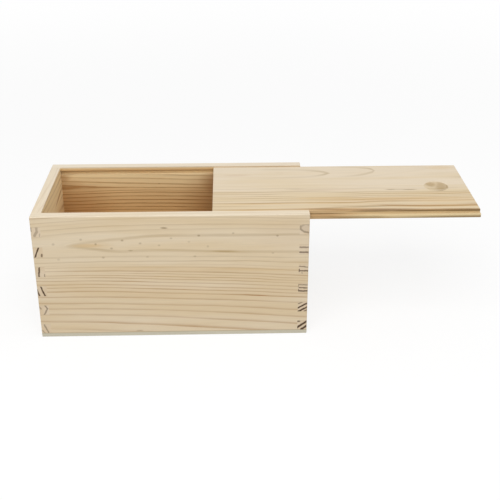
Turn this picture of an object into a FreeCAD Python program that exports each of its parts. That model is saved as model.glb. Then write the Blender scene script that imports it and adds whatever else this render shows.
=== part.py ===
import FreeCAD, Part
import math
import os
import Sketcher

# A finger-jointed pine box whose lid slides in grooves, in millimetres.
#
# Frame: the origin is the centre of the box's underside, +X is the way the lid pulls out, +Y is
# towards the back and +Z is up. Each piece is drawn in its own corner, with its lowest corner at
# its own origin, and its Placement sets it in the box.

document = FreeCAD.newDocument("sliding_lid_box")

# Driving sizes: name, value and what it measures.
SIZES = [
    ("box_length", 250.0, "outside, along the lid's travel"),
    ("box_width", 125.0, "outside, across the lid's travel"),
    ("box_height", 125.0, "outside, from the underside to the rim"),
    ("wall_thickness", 9.0, "the four upright boards"),
    ("base_thickness", 4.0, "the board under the walls"),
    ("finger_width", 10.0, "wanted width of a joint finger, rounded to fill the corner evenly"),
    ("lip_height", 3.5, "wood left above the lid groove"),
    ("groove_height", 4.3, "lid groove, floor to roof"),
    ("groove_depth", 4.0, "lid groove, into the side board"),
    ("lid_thickness", 6.5, "lid board, before its edges are rabbeted"),
    ("tongue_play", 1.0, "the groove's height less the tongue's"),
    ("lid_float", 0.3, "running gap between the groove's floor and the tongue"),
    ("lid_side_gap", 0.5, "running gap at each long edge of the lid"),
    ("lid_stop_gap", 0.4, "between the shut lid and the closed end"),
    ("lid_overhang", 3.0, "how far the shut lid stands past the open end"),
    ("lid_travel_shown", 153.0, "how far the lid is drawn out at rest"),
    ("recess_diameter", 23.5, "thumb recess at the lid's surface"),
    ("recess_depth", 2.6, "thumb recess at its deepest"),
    ("recess_inset", 29.5, "recess centre from the lid's outer end"),
    ("arris_radius", 0.7, "sanded outer edges of the box"),
    ("lid_arris_radius", 0.45, "sanded edges of the lid"),
    ("brad_length", 16.0, "nails that pin the base to the walls"),
    ("brad_width", 1.25, "nail shank, along its row"),
    ("brad_wire", 1.0, "nail shank and head, across its row"),
    ("brad_head_width", 2.0, "nail head, along its row"),
    ("brad_head_height", 0.7, "nail head"),
    ("brad_point_height", 1.4, "chisel point of the nail"),
    ("brad_point_width", 0.3, "blunt end of the point"),
    ("brad_sink", 0.25, "how far the heads are set into the base"),
    ("brad_spacing", 60.0, "from nail to nail in a row, the row centred on its board"),
]

sheet = document.addObject("Spreadsheet::Sheet", "sizes")
for row, (name, size, meaning) in enumerate(SIZES, start=1):
    sheet.set(f"A{row}", name)
    sheet.set(f"B{row}", str(size))
    sheet.set(f"C{row}", meaning)
    sheet.setAlias(f"B{row}", name)
document.recompute()

# Formulas shared by the pieces that meet.
WALL_HEIGHT = "(sizes.box_height - sizes.base_thickness)"
FINGER_PAIRS = f"round({WALL_HEIGHT} / (2 * sizes.finger_width))"
FINGER_PITCH = f"({WALL_HEIGHT} / (2 * {FINGER_PAIRS}))"
INSIDE_WIDTH = "(sizes.box_width - 2 * sizes.wall_thickness)"
GROOVE_FLOOR = f"({WALL_HEIGHT} - sizes.lip_height - sizes.groove_height)"
GROOVE_ROOF = f"({WALL_HEIGHT} - sizes.lip_height)"
TONGUE_HEIGHT = "(sizes.groove_height - sizes.tongue_play)"
LID_WIDTH = f"({INSIDE_WIDTH} + 2 * sizes.groove_depth - 2 * sizes.lid_side_gap)"
LID_LENGTH = "(sizes.box_length - sizes.wall_thickness - sizes.lid_stop_gap + sizes.lid_overhang)"
LID_START = "(sizes.wall_thickness + sizes.lid_stop_gap + sizes.lid_travel_shown)"
HALF_WALL = "(sizes.wall_thickness / 2)"

# The rows of nails keep a wall's thickness clear of the corner joints.
BRAD_GAPS_ALONG = "floor((sizes.box_length - 4 * sizes.wall_thickness) / sizes.brad_spacing)"
BRAD_GAPS_ACROSS = "floor((sizes.box_width - 4 * sizes.wall_thickness) / sizes.brad_spacing)"
BRAD_ROW_LENGTH = f"({BRAD_GAPS_ALONG} * sizes.brad_spacing)"
BRAD_ROW_WIDTH = f"({BRAD_GAPS_ACROSS} * sizes.brad_spacing)"
BRADS_ALONG = f"({BRAD_GAPS_ALONG} + 1)"
BRADS_ACROSS = f"({BRAD_GAPS_ACROSS} + 1)"


def value(formula):
    """Work out a formula of the sheet's sizes."""
    return float(sheet.evalExpression(formula))


def new_body(label, across, back, up):
    """Start a piece whose lowest corner stands at three formulas, from the box's lowest corner."""
    body = document.addObject("PartDesign::Body", label)
    body.Label = label
    body.setExpression("Placement.Base.x", f"{across} - sizes.box_length / 2")
    body.setExpression("Placement.Base.y", f"{back} - sizes.box_width / 2")
    body.setExpression("Placement.Base.z", up)
    return body


def origin_feature(body, role):
    """Find one of the body's own origin planes or axes."""
    for feature in body.Origin.OriginFeatures:
        if feature.Role == role:
            return feature
    raise ValueError(f"{body.Label} has no {role}")


def new_sketch(body, name, plane, across="0", up="0", lift="0"):
    """Start a sketch on an origin plane, moved in its own directions by three formulas."""
    sketch = body.newObject("Sketcher::SketchObject", name)
    sketch.AttachmentSupport = [(origin_feature(body, plane), "")]
    sketch.MapMode = "FlatFace"
    sketch.setExpression("AttachmentOffset.Base.x", across)
    sketch.setExpression("AttachmentOffset.Base.y", up)
    sketch.setExpression("AttachmentOffset.Base.z", lift)
    return sketch


def tie_point(sketch, line, end, across, up):
    """Hold one end of a line at two formulas, measured from the sketch's origin."""
    horizontal_axis = -1
    vertical_axis = -2
    ties = [("DistanceX", across, vertical_axis), ("DistanceY", up, horizontal_axis)]
    for kind, formula, axis in ties:
        if formula == "0":
            sketch.addConstraint(Sketcher.Constraint("PointOnObject", line, end, axis))
        else:
            number = sketch.addConstraint(
                Sketcher.Constraint(kind, horizontal_axis, 1, line, end, value(formula))
            )
            sketch.setExpression(f"Constraints[{number}]", formula)


def draw_outline(sketch, corners):
    """Draw a closed outline of straight lines through corners, each a pair of formulas."""
    points = [FreeCAD.Vector(value(across), value(up), 0) for across, up in corners]
    first = sketch.GeometryCount
    count = len(corners)
    for index in range(count):
        sketch.addGeometry(Part.LineSegment(points[index], points[(index + 1) % count]), False)
    for index, (across, up) in enumerate(corners):
        line = first + index
        line_before = first + (index - 1) % count
        sketch.addConstraint(Sketcher.Constraint("Coincident", line_before, 2, line, 1))
        tie_point(sketch, line, 1, across, up)


def draw_rectangle(sketch, left, bottom, right, top):
    """Draw a rectangle between four formulas."""
    draw_outline(sketch, [(left, bottom), (right, bottom), (right, top), (left, top)])


def pad(body, name, sketch, length):
    """Raise a sketch along its normal."""
    feature = body.newObject("PartDesign::Pad", name)
    feature.Profile = sketch
    feature.setExpression("Length", length)
    document.recompute()
    return feature


def checked_cut(feature, volume_before):
    """Stop if a cut took nothing away."""
    least_cut = 1e-6
    document.recompute()
    if not feature.Shape.Volume < volume_before - least_cut:
        raise ValueError(f"{feature.Label} cuts nothing")
    return feature


def pocket(body, name, sketch, depth="", towards_normal=False):
    """Cut a sketch into the body, through all of it where no depth is given."""
    volume_before = body.Shape.Volume
    feature = body.newObject("PartDesign::Pocket", name)
    feature.Profile = sketch
    feature.Reversed = towards_normal
    if depth:
        feature.setExpression("Length", depth)
    else:
        feature.Type = "ThroughAll"
    return checked_cut(feature, volume_before)


def both_ways(body, name, sketch, thickness, cuts):
    """Add or cut a sketch evenly to both sides of its plane."""
    volume_before = body.Shape.Volume if cuts else 0
    feature = body.newObject("PartDesign::Pocket" if cuts else "PartDesign::Pad", name)
    feature.Profile = sketch
    feature.Midplane = True
    feature.setExpression("Length", thickness)
    if cuts:
        return checked_cut(feature, volume_before)
    document.recompute()
    return feature


def turned_cut(body, name, sketch):
    """Cut away a sketch turned about its vertical axis."""
    volume_before = body.Shape.Volume
    feature = body.newObject("PartDesign::Groove", name)
    feature.Profile = sketch
    feature.ReferenceAxis = (sketch, ["V_Axis"])
    feature.Angle = 360
    return checked_cut(feature, volume_before)


def repeat(body, name, feature, axis, run, count, second_axis="", second_run="", second_count=""):
    """Repeat a feature evenly along an origin axis, and in rows along a second one."""
    pattern = body.newObject("PartDesign::LinearPattern", name)
    pattern.Originals = [feature]
    pattern.Direction = (origin_feature(body, axis), [""])
    pattern.setExpression("Length", run)
    pattern.setExpression("Occurrences", count)
    if second_axis:
        pattern.Direction2 = (origin_feature(body, second_axis), [""])
        pattern.setExpression("Length2", second_run)
        pattern.setExpression("Occurrences2", second_count)
    body.Tip = pattern
    document.recompute()
    return pattern


def ease_edges(body, name, feature, faces, radius):
    """Round each straight edge that lies in two of the named faces, given as (axis, formula)."""
    tolerance = 1e-4
    planes = [(axis, value(formula)) for axis, formula in faces]

    def lies_in(point, plane):
        axis, position = plane
        return abs(getattr(point, axis) - position) < tolerance

    names = []
    for number, edge in enumerate(feature.Shape.Edges, start=1):
        ends = [vertex.Point for vertex in edge.Vertexes]
        shared = [plane for plane in planes if all(lies_in(point, plane) for point in ends)]
        if len(shared) >= 2:
            names.append(f"Edge{number}")
    fillet = body.newObject("PartDesign::Fillet", name)
    fillet.Base = (feature, names)
    fillet.setExpression("Radius", radius)
    document.recompute()
    return fillet


# Side boards. They lie along X. Their fingers take the top place in each corner and every second
# place below it, so the notches for the end boards start at the bottom.

def make_side_board(label, back, outer_face, inner_face, outer_is_low):
    """Make one long board with its end notches, lid groove and nail holes."""
    body = new_body(label, "0", back, "sizes.base_thickness")

    plan = new_sketch(body, f"{label}_plan", "XY_Plane")
    draw_rectangle(plan, "0", "0", "sizes.box_length", "sizes.wall_thickness")
    blank = pad(body, f"{label}_blank", plan, WALL_HEIGHT)
    rounded_faces = [("x", "0"), ("x", "sizes.box_length"), ("y", outer_face), ("z", WALL_HEIGHT)]
    ease_edges(body, f"{label}_arrises", blank, rounded_faces, "sizes.arris_radius")

    notch_plan = new_sketch(body, f"{label}_notch_outline", "XZ_Plane")
    draw_rectangle(notch_plan, "0", "0", "sizes.wall_thickness", FINGER_PITCH)
    far_end = "sizes.box_length"
    draw_rectangle(notch_plan, f"{far_end} - sizes.wall_thickness", "0", far_end, FINGER_PITCH)
    notch = pocket(body, f"{label}_notch", notch_plan)
    notch_run = f"(({FINGER_PAIRS} - 1) * 2 * {FINGER_PITCH})"
    repeat(body, f"{label}_comb", notch, "Z_Axis", notch_run, FINGER_PAIRS)

    groove_plan = new_sketch(body, f"{label}_groove_outline", "XZ_Plane", lift=f"-({inner_face})")
    draw_rectangle(groove_plan, "sizes.wall_thickness", GROOVE_FLOOR, "sizes.box_length", GROOVE_ROOF)
    pocket(body, f"{label}_lid_groove", groove_plan, "sizes.groove_depth", towards_normal=outer_is_low)

    slot = start_side_nail(body, draw_nail_above_base, cuts=True)
    repeat(body, f"{label}_nail_slots", slot, "X_Axis", BRAD_ROW_LENGTH, BRADS_ALONG)
    return body


# End boards. They lie along Y, between the side boards' inner faces, with fingers that reach
# through the side boards in the bottom place and every second place above it.

def make_end_board(label, across, top, outer_face):
    """Make one short board with its end fingers and nail holes, up to a given top."""
    body = new_body(label, across, "0", "sizes.base_thickness")

    plan = new_sketch(body, f"{label}_plan", "XY_Plane")
    draw_rectangle(plan, "0", "0", "sizes.wall_thickness", "sizes.box_width")
    blank = pad(body, f"{label}_blank", plan, top)
    rounded_faces = [("y", "0"), ("y", "sizes.box_width"), ("x", outer_face), ("z", top)]
    ease_edges(body, f"{label}_arrises", blank, rounded_faces, "sizes.arris_radius")

    notch_plan = new_sketch(body, f"{label}_notch_outline", "YZ_Plane")
    notch_top = f"(2 * {FINGER_PITCH})"
    far_side = "sizes.box_width"
    draw_rectangle(notch_plan, "0", FINGER_PITCH, "sizes.wall_thickness", notch_top)
    draw_rectangle(notch_plan, f"{far_side} - sizes.wall_thickness", FINGER_PITCH, far_side, notch_top)
    notch = pocket(body, f"{label}_notch", notch_plan, towards_normal=True)
    notch_run = f"(({FINGER_PAIRS} - 1) * 2 * {FINGER_PITCH})"
    repeat(body, f"{label}_comb", notch, "Z_Axis", notch_run, FINGER_PAIRS)

    slot = start_end_nail(body, draw_nail_above_base, cuts=True)
    repeat(body, f"{label}_nail_slots", slot, "Y_Axis", BRAD_ROW_WIDTH, BRADS_ACROSS)
    return body


# Nails. They are flat wire brads with a T head and a chisel point, and stand point up. One outline
# serves the nail, its slot in the base and its slot in the walls, each drawn from the nail's left.

NAIL_TOP = "(sizes.brad_sink + sizes.brad_length)"
NAIL_TAPER = f"({NAIL_TOP} - sizes.brad_point_height)"
NAIL_NECK = "(sizes.brad_sink + sizes.brad_head_height)"
SHANK_LEFT = "((sizes.brad_head_width - sizes.brad_width) / 2)"
SHANK_RIGHT = "((sizes.brad_head_width + sizes.brad_width) / 2)"
TIP_LEFT = "((sizes.brad_head_width - sizes.brad_point_width) / 2)"
TIP_RIGHT = "((sizes.brad_head_width + sizes.brad_point_width) / 2)"
FIRST_HEAD_ALONG = f"((sizes.box_length - {BRAD_ROW_LENGTH} - sizes.brad_head_width) / 2)"
FIRST_HEAD_ACROSS = f"((sizes.box_width - {BRAD_ROW_WIDTH} - sizes.brad_head_width) / 2)"


def draw_nail_above_base(sketch):
    """Draw the stretch of nail that stands in a wall, from the base's top face."""
    draw_outline(sketch, [
        (SHANK_LEFT, "0"),
        (SHANK_RIGHT, "0"),
        (SHANK_RIGHT, f"{NAIL_TAPER} - sizes.base_thickness"),
        (TIP_RIGHT, f"{NAIL_TOP} - sizes.base_thickness"),
        (TIP_LEFT, f"{NAIL_TOP} - sizes.base_thickness"),
        (SHANK_LEFT, f"{NAIL_TAPER} - sizes.base_thickness"),
    ])


def draw_nail(sketch):
    """Draw a whole nail, from the base's underside."""
    draw_outline(sketch, [
        ("0", "sizes.brad_sink"),
        ("sizes.brad_head_width", "sizes.brad_sink"),
        ("sizes.brad_head_width", NAIL_NECK),
        (SHANK_RIGHT, NAIL_NECK),
        (SHANK_RIGHT, NAIL_TAPER),
        (TIP_RIGHT, NAIL_TOP),
        (TIP_LEFT, NAIL_TOP),
        (SHANK_LEFT, NAIL_TAPER),
        (SHANK_LEFT, NAIL_NECK),
        ("0", NAIL_NECK),
    ])


def draw_nail_slot(sketch):
    """Draw the stepped slot that a nail leaves in the base."""
    draw_outline(sketch, [
        ("0", "0"),
        ("sizes.brad_head_width", "0"),
        ("sizes.brad_head_width", NAIL_NECK),
        (SHANK_RIGHT, NAIL_NECK),
        (SHANK_RIGHT, "sizes.base_thickness"),
        (SHANK_LEFT, "sizes.base_thickness"),
        (SHANK_LEFT, NAIL_NECK),
        ("0", NAIL_NECK),
    ])


def start_side_nail(body, draw, cuts):
    """Make the first nail, or slot, of a row along X, in the middle of a side board."""
    outline = new_sketch(body, f"{body.Label}_side_nail_outline", "XZ_Plane",
                         across=FIRST_HEAD_ALONG, lift=f"-{HALF_WALL}")
    draw(outline)
    return both_ways(body, f"{body.Label}_side_nail", outline, "sizes.brad_wire", cuts)


def start_end_nail(body, draw, cuts):
    """Make the first nail, or slot, of a row along Y, in the middle of an end board."""
    outline = new_sketch(body, f"{body.Label}_end_nail_outline", "YZ_Plane",
                         across=FIRST_HEAD_ACROSS, lift=HALF_WALL)
    draw(outline)
    return both_ways(body, f"{body.Label}_end_nail", outline, "sizes.brad_wire", cuts)


def add_nail_rows(body, draw, cuts):
    """Make nails, or their slots, in two rows along the side boards and two along the ends."""
    side_nail = start_side_nail(body, draw, cuts)
    repeat(body, f"{body.Label}_side_rows", side_nail, "X_Axis", BRAD_ROW_LENGTH, BRADS_ALONG,
           "Y_Axis", "sizes.box_width - sizes.wall_thickness", "2")
    end_nail = start_end_nail(body, draw, cuts)
    repeat(body, f"{body.Label}_end_rows", end_nail, "Y_Axis", BRAD_ROW_WIDTH, BRADS_ACROSS,
           "X_Axis", "sizes.box_length - sizes.wall_thickness", "2")


# Base: one board under all four walls, flush with them.

def make_base_board():
    """Make the bottom board with its eased edges and nail holes."""
    body = new_body("bottom_board", "0", "0", "0")
    plan = new_sketch(body, "base_plan", "XY_Plane")
    draw_rectangle(plan, "0", "0", "sizes.box_length", "sizes.box_width")
    blank = pad(body, "base_blank", plan, "sizes.base_thickness")
    sides = [("x", "0"), ("x", "sizes.box_length"), ("y", "0"), ("y", "sizes.box_width")]
    rounded_faces = sides + [("z", "0")]
    ease_edges(body, "base_arrises", blank, rounded_faces, "sizes.arris_radius")
    add_nail_rows(body, draw_nail_slot, cuts=True)
    return body


def make_nails():
    """Make the nails that pin the base to the walls, as separate solids in one group."""
    body = new_body("bottom_brads", "0", "0", "0")
    body.AllowCompound = True
    add_nail_rows(body, draw_nail, cuts=False)
    return body


# Lid: a board rabbeted along both long edges, so that its lower half runs in the grooves as a
# tongue and its upper half fills the space between the side boards.

def make_lid():
    """Make the lid with its tongues, eased edges and thumb recess."""
    lid_level = f"(sizes.base_thickness + {GROOVE_FLOOR} + sizes.lid_float)"
    side = "(sizes.wall_thickness - sizes.groove_depth + sizes.lid_side_gap)"
    body = new_body("sliding_lid", LID_START, side, lid_level)

    shoulder = "sizes.groove_depth"
    far_shoulder = f"({LID_WIDTH} - {shoulder})"
    section = new_sketch(body, "lid_section", "YZ_Plane")
    draw_outline(section, [
        ("0", "0"),
        (LID_WIDTH, "0"),
        (LID_WIDTH, TONGUE_HEIGHT),
        (far_shoulder, TONGUE_HEIGHT),
        (far_shoulder, "sizes.lid_thickness"),
        (shoulder, "sizes.lid_thickness"),
        (shoulder, TONGUE_HEIGHT),
        ("0", TONGUE_HEIGHT),
    ])
    blank = pad(body, "lid_blank", section, LID_LENGTH)
    ends = [("x", "0"), ("x", LID_LENGTH)]
    upper_faces = ends + [("y", shoulder), ("y", far_shoulder), ("z", "sizes.lid_thickness")]
    upper = ease_edges(body, "lid_upper_arrises", blank, upper_faces, "sizes.lid_arris_radius")
    lower_faces = ends + [("y", "0"), ("y", LID_WIDTH), ("z", "0")]
    ease_edges(body, "lid_lower_arrises", upper, lower_faces, "sizes.lid_arris_radius")

    # The recess is a shallow bowl cut from a ball: its outline is an arc whose centre stands over
    # the deepest point.
    bowl = new_sketch(body, "recess_outline", "XZ_Plane",
                      across=f"{LID_LENGTH} - sizes.recess_inset", lift=f"-{LID_WIDTH} / 2")
    radius = value("sizes.recess_diameter / 2")
    depth = value("sizes.recess_depth")
    surface = value("sizes.lid_thickness")
    ball_radius = (radius ** 2 + depth ** 2) / (2 * depth)
    ball_centre = FreeCAD.Vector(0, surface - depth + ball_radius, 0)
    ball = Part.Circle(ball_centre, FreeCAD.Vector(0, 0, 1), ball_radius)
    straight_down = -math.pi / 2
    rim_angle = straight_down + math.asin(radius / ball_radius)
    lowest = FreeCAD.Vector(0, surface - depth, 0)
    rim = FreeCAD.Vector(radius, surface, 0)
    over_rim = FreeCAD.Vector(radius, surface + depth, 0)
    over_lowest = FreeCAD.Vector(0, surface + depth, 0)
    bowl.addGeometry(Part.ArcOfCircle(ball, straight_down, rim_angle), False)
    bowl.addGeometry(Part.LineSegment(rim, over_rim), False)
    bowl.addGeometry(Part.LineSegment(over_rim, over_lowest), False)
    bowl.addGeometry(Part.LineSegment(over_lowest, lowest), False)
    for line in range(4):
        bowl.addConstraint(Sketcher.Constraint("Coincident", line, 2, (line + 1) % 4, 1))
    # The arc's centre, which Sketcher counts as its point 3, lies on the vertical axis, -2.
    bowl.addConstraint(Sketcher.Constraint("PointOnObject", 0, 3, -2))
    tie_point(bowl, 0, 1, "0", "sizes.lid_thickness - sizes.recess_depth")
    tie_point(bowl, 1, 1, "sizes.recess_diameter / 2", "sizes.lid_thickness")
    tie_point(bowl, 2, 1, "sizes.recess_diameter / 2", "sizes.lid_thickness + sizes.recess_depth")
    tie_point(bowl, 3, 1, "0", "sizes.lid_thickness + sizes.recess_depth")
    turned_cut(body, "thumb_recess", bowl)
    return body


pieces = [
    make_side_board("front_side", "0", "0", "sizes.wall_thickness", outer_is_low=True),
    make_side_board("back_side", "sizes.box_width - sizes.wall_thickness",
                    "sizes.wall_thickness", "0", outer_is_low=False),
    make_end_board("closed_end", "0", WALL_HEIGHT, "0"),
    make_end_board("open_end", "sizes.box_length - sizes.wall_thickness", GROOVE_FLOOR,
                   "sizes.wall_thickness"),
    make_base_board(),
    make_nails(),
    make_lid(),
]
document.recompute()

for item in document.Objects:
    if "Invalid" in item.State or "Error" in item.State:
        raise RuntimeError(f"{item.Label} failed: {item.State}")
for piece in pieces:
    if piece.Shape.isNull() or not piece.Shape.isValid():
        raise RuntimeError(f"{piece.Label} has no valid shape")

os.makedirs("parts", exist_ok=True)
for piece in pieces:
    piece.Shape.exportStep(f"parts/{piece.Label}.step")
    print(piece.Label, len(piece.Shape.Solids), "solids", round(piece.Shape.Volume / 1000, 2), "cm3")
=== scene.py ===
import math
from typing import NamedTuple

import bmesh
import bpy
from bpy.props import FloatProperty, FloatVectorProperty, PointerProperty
from mathutils import Matrix, Vector


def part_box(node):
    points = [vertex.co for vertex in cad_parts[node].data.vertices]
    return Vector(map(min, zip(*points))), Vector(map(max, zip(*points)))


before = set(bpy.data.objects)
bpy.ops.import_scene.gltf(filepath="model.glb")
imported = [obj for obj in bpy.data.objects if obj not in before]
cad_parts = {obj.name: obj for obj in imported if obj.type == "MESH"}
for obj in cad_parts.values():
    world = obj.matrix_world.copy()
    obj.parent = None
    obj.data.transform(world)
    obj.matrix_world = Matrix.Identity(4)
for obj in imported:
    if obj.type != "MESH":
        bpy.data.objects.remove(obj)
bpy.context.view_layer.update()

bl_info = {
    "name": "Sliding Lid Box",
    "version": (1, 0, 0),
    "blender": (4, 5, 0),
    "location": "View3D > Sidebar > Lid Box",
    "description": "Wood finishes and a studio for a finger-jointed box with a sliding lid",
    "category": "Object",
}

MM = 0.001

# The base is flush with the walls all round. In metres, as the frame has it.
BASE_LOW, BASE_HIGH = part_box("bottom_board")
LID_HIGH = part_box("sliding_lid")[1]
WALL_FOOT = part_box("front_side")[0].z
WALL_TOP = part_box("front_side")[1].z

# The rest is in millimetres. A board's own places count from the box's left, front, lower corner.
WALL_THICKNESS = (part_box("closed_end")[1].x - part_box("closed_end")[0].x) / MM
BASE_THICKNESS = (WALL_FOOT - BASE_LOW.z) / MM
RIM = (WALL_TOP - BASE_LOW.z) / MM
FINGERS = 12
FINGER_PITCH = (WALL_TOP - WALL_FOOT) / FINGERS / MM
# How far the thumb recess's centre lies from the lid's outer end.
RECESS_INSET = 29.5
RECESS_RADIUS = 11.75
ENDLESS = 1e5

# How a curve bends at its points where the wood has no corner.
SMOOTH = "AUTO_CLAMPED"


def linear(hex_colour):
    """Turn an sRGB hex colour into the linear RGBA that Blender works in."""
    channels = [int(hex_colour[start:start + 2], 16) / 255 for start in (1, 3, 5)]
    return [c / 12.92 if c <= 0.04045 else ((c + 0.055) / 1.055) ** 2.4 for c in channels] + [1.0]


# Settings that a user would change.

def colour_setting(name, description, hex_colour):
    """A colour that shows in the panel, given as sRGB hex."""
    return FloatVectorProperty(name=name, description=description, subtype="COLOR", size=4,
                               min=0, max=1, default=linear(hex_colour))


class PineSettings(bpy.types.PropertyGroup):
    """Bare sanded pine, as all five boards have it."""
    side_cream: colour_setting("Side cream", "Earlywood of the side and end boards", "#E4D3B7")
    side_straw: colour_setting("Side straw", "Yellower earlywood of the side and end boards", "#DEC9A6")
    lid_cream: colour_setting("Lid cream", "Earlywood of the lid", "#E0D0B7")
    lid_straw: colour_setting("Lid straw", "Yellower earlywood of the lid", "#DAC6A3")
    latewood: colour_setting("Latewood", "The dark line that ends each year's ring", "#A3743E")
    olive_latewood: colour_setting("Olive latewood", "The same line in greyer wood", "#9C8247")
    resin: colour_setting("Resin", "Bands that resin has darkened", "#CFAA6D")
    # The shade colour is browned wood and also painted shadow: in the back wall's corners and under the
    # lid's inner end, along the groove's back wall, and on the lid's tongue beside the front board.
    shade: colour_setting("Shade", "Patches that handling has browned", "#A87442")
    # The fleck colour also paints shade along the lid's front edge: in the rabbet's corner beside the box
    # and on the lower edge of its tongue.
    fleck: colour_setting("Fleck", "Resin canals and bark flecks", "#7B5F36")
    # Also a painted highlight: the same pale colour runs in a band along the top of the walls' faces, where
    # the eased arris catches the light.
    planed_edge_and_highlight: colour_setting("Planed edge", "Paler wood on the narrow top edges", "#E9DDC8")
    honey: colour_setting("Honey", "Unsanded wood inside the box, near its mouth", "#F7DFAF")
    deep_honey: colour_setting("Deep honey", "Unsanded wood further down", "#D6A667")
    tongue: colour_setting("Tongue", "Cut wood on the lid's tongues", "#E5CEA0")
    rabbet: colour_setting("Rabbet", "Cut wood on the walls above the tongues", "#CDB388")
    end_stroke: colour_setting("End stroke", "Latewood cut across, on the finger ends", "#4A2F10")
    end_grain: colour_setting("End grain", "Pinker tint of wood cut across", "#B98F78")
    # The seam colour also paints the shadow line at the walls' foot, over the base.
    seam: colour_setting("Seam", "Glue line round each finger", "#927B58")
    # The recess colours are partly the darker wood of fibres cut slantwise and partly painted shade of the
    # dish.
    recess_wood: colour_setting("Recess wood", "Fibres cut slantwise in the thumb recess", "#D2BF9F")
    recess_shade: colour_setting("Recess shade", "Where the recess cuts most across the grain", "#A98F66")
    roughness: FloatProperty(name="Roughness", description="Sheen of the sanded wood",
                             subtype="FACTOR", min=0, max=1, default=0.62)
    line_roughness: FloatProperty(name="Line roughness", description="Sheen of the harder latewood",
                                  subtype="FACTOR", min=0, max=1, default=0.5)
    fibre_relief: FloatProperty(name="Fibre relief", description="Height of the sanded fibres",
                                subtype="DISTANCE", unit="LENGTH", min=0, default=0.03 * MM)


class BaseSettings(bpy.types.PropertyGroup):
    """Thin three-ply board under the walls, and the wire brads that pin it."""
    face_veneer: colour_setting("Face veneer", "Pale rotary-cut veneer", "#DBD5C0")
    core_veneer: colour_setting("Core veneer", "Middle ply, cut across", "#D7D1BE")
    inner_veneer: colour_setting("Inner veneer", "Creamier veneer on the box's floor", "#E6D8B8")
    # Under the walls, this line is partly glue and partly painted shadow.
    glue_line_and_shadow: colour_setting("Glue line", "Between the plies and under the walls", "#9E9577")
    veneer_relief: FloatProperty(name="Veneer relief", description="Height of the unsanded fibres",
                                 subtype="DISTANCE", unit="LENGTH", min=0, default=0.04 * MM)
    steel: colour_setting("Steel", "Bare wire of the brads", "#9A9894")
    dull_steel: colour_setting("Dull steel", "Freckles on the wire", "#6B6660")


class StudioSettings(bpy.types.PropertyGroup):
    """Floor, lamps and camera."""
    floor: colour_setting("Floor", "White paper under the box, as the camera sees it", "#FFFFFF")
    floor_bounce: colour_setting("Floor bounce", "The same paper, as it lights the box", "#D2D1CF")
    floor_glow: FloatProperty(name="Floor glow", description="How much of the paper is its own white",
                              subtype="FACTOR", min=0, max=1, default=0.8)
    sky: FloatProperty(name="Sky", description="Even light from all round", min=0, default=0.55)
    softbox: FloatProperty(name="Softbox", description="Power of the large lamp in front and overhead",
                           unit="POWER", min=0, default=12.2)
    side_light: FloatProperty(name="Side light", description="Power of the weak lamp on the right",
                              unit="POWER", min=0, default=2.6)
    camera_place: FloatVectorProperty(
        name="Camera place", description="Where the camera stands, from the centre of the box's underside",
        subtype="XYZ", unit="LENGTH", default=(0.0523, -0.7977, 0.4715))
    camera_pitch: FloatProperty(name="Camera pitch", description="How far the camera looks down",
                                subtype="ANGLE", unit="ROTATION", default=math.radians(25.18))
    camera_yaw: FloatProperty(name="Camera yaw", description="How far the camera turns to the left",
                              subtype="ANGLE", unit="ROTATION", default=math.radians(-1.77))
    camera_roll: FloatProperty(name="Camera roll", description="How far the camera leans",
                               subtype="ANGLE", unit="ROTATION", default=math.radians(0.13))


# Shader nodes.

def add(tree, kind, *inputs, named=None, stops=None, points=None, bends="VECTOR", **settings):
    """Add a shader node with its settings, then its inputs: values, sockets, or nodes for their result."""
    node = tree.nodes.new("ShaderNode" + kind)
    for name, setting in settings.items():
        setattr(node, name, setting)
    if stops:
        elements = node.color_ramp.elements
        while len(elements) < len(stops):
            elements.new(1.0)
        for element, (position, colour) in zip(elements, stops):
            element.position = position
            element.color = colour if hasattr(colour, "__len__") else (colour, colour, colour, 1.0)
    if points:
        curve = node.mapping.curves[0]
        while len(curve.points) < len(points):
            curve.points.new(1.0, 1.0)
        for point, place in zip(curve.points, points):
            point.location = place
            point.handle_type = bends
        node.mapping.update()
    open_inputs = [socket for socket in node.inputs if socket.enabled]
    pairs = list(zip(open_inputs, inputs)) + [(node.inputs[name], v) for name, v in (named or {}).items()]
    for socket, source in pairs:
        if isinstance(source, bpy.types.Node):
            source = next(output for output in source.outputs if output.enabled)
        if isinstance(source, bpy.types.NodeSocket):
            tree.links.new(source, socket)
        else:
            socket.default_value = source
    return node


def new_material(name):
    """Start a material that holds no node yet."""
    material = bpy.data.materials.new(name)
    material.use_nodes = True
    material.node_tree.nodes.clear()
    return material, material.node_tree


def times(tree, *factors):
    """Multiply any number of values."""
    product = factors[0]
    for factor in factors[1:]:
        product = add(tree, "Math", product, factor, operation="MULTIPLY")
    return product


def strongest(tree, covers):
    """Join any number of covers, the strongest on top."""
    total = 0.0
    for cover in covers:
        total = add(tree, "Math", total, cover, operation="MAXIMUM")
    return total


def lay_coats(tree, ground, *coats):
    """Lay coats over a ground colour, the last on top. A coat is how strongly it covers, and its colour."""
    for cover, colour in coats:
        ground = add(tree, "Mix", cover, ground, colour, data_type="RGBA")
    return ground


def read_off(tree, source, pairs, bends="VECTOR"):
    """Read a value off a line through pairs of (where, value), with sharp or smooth bends, level past
    both ends."""
    starts, values = zip(*pairs)
    lowest, span = min(values), (max(values) - min(values)) or 1.0
    share = add(tree, "MapRange", source, starts[0], starts[-1], 0.0, 1.0)
    drawn = [((start - starts[0]) / (starts[-1] - starts[0]), (value - lowest) / span)
             for start, value in pairs]
    curve = add(tree, "FloatCurve", 1.0, share, points=drawn, bends=bends)
    return add(tree, "Math", curve, span, lowest, operation="MULTIPLY_ADD")


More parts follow.
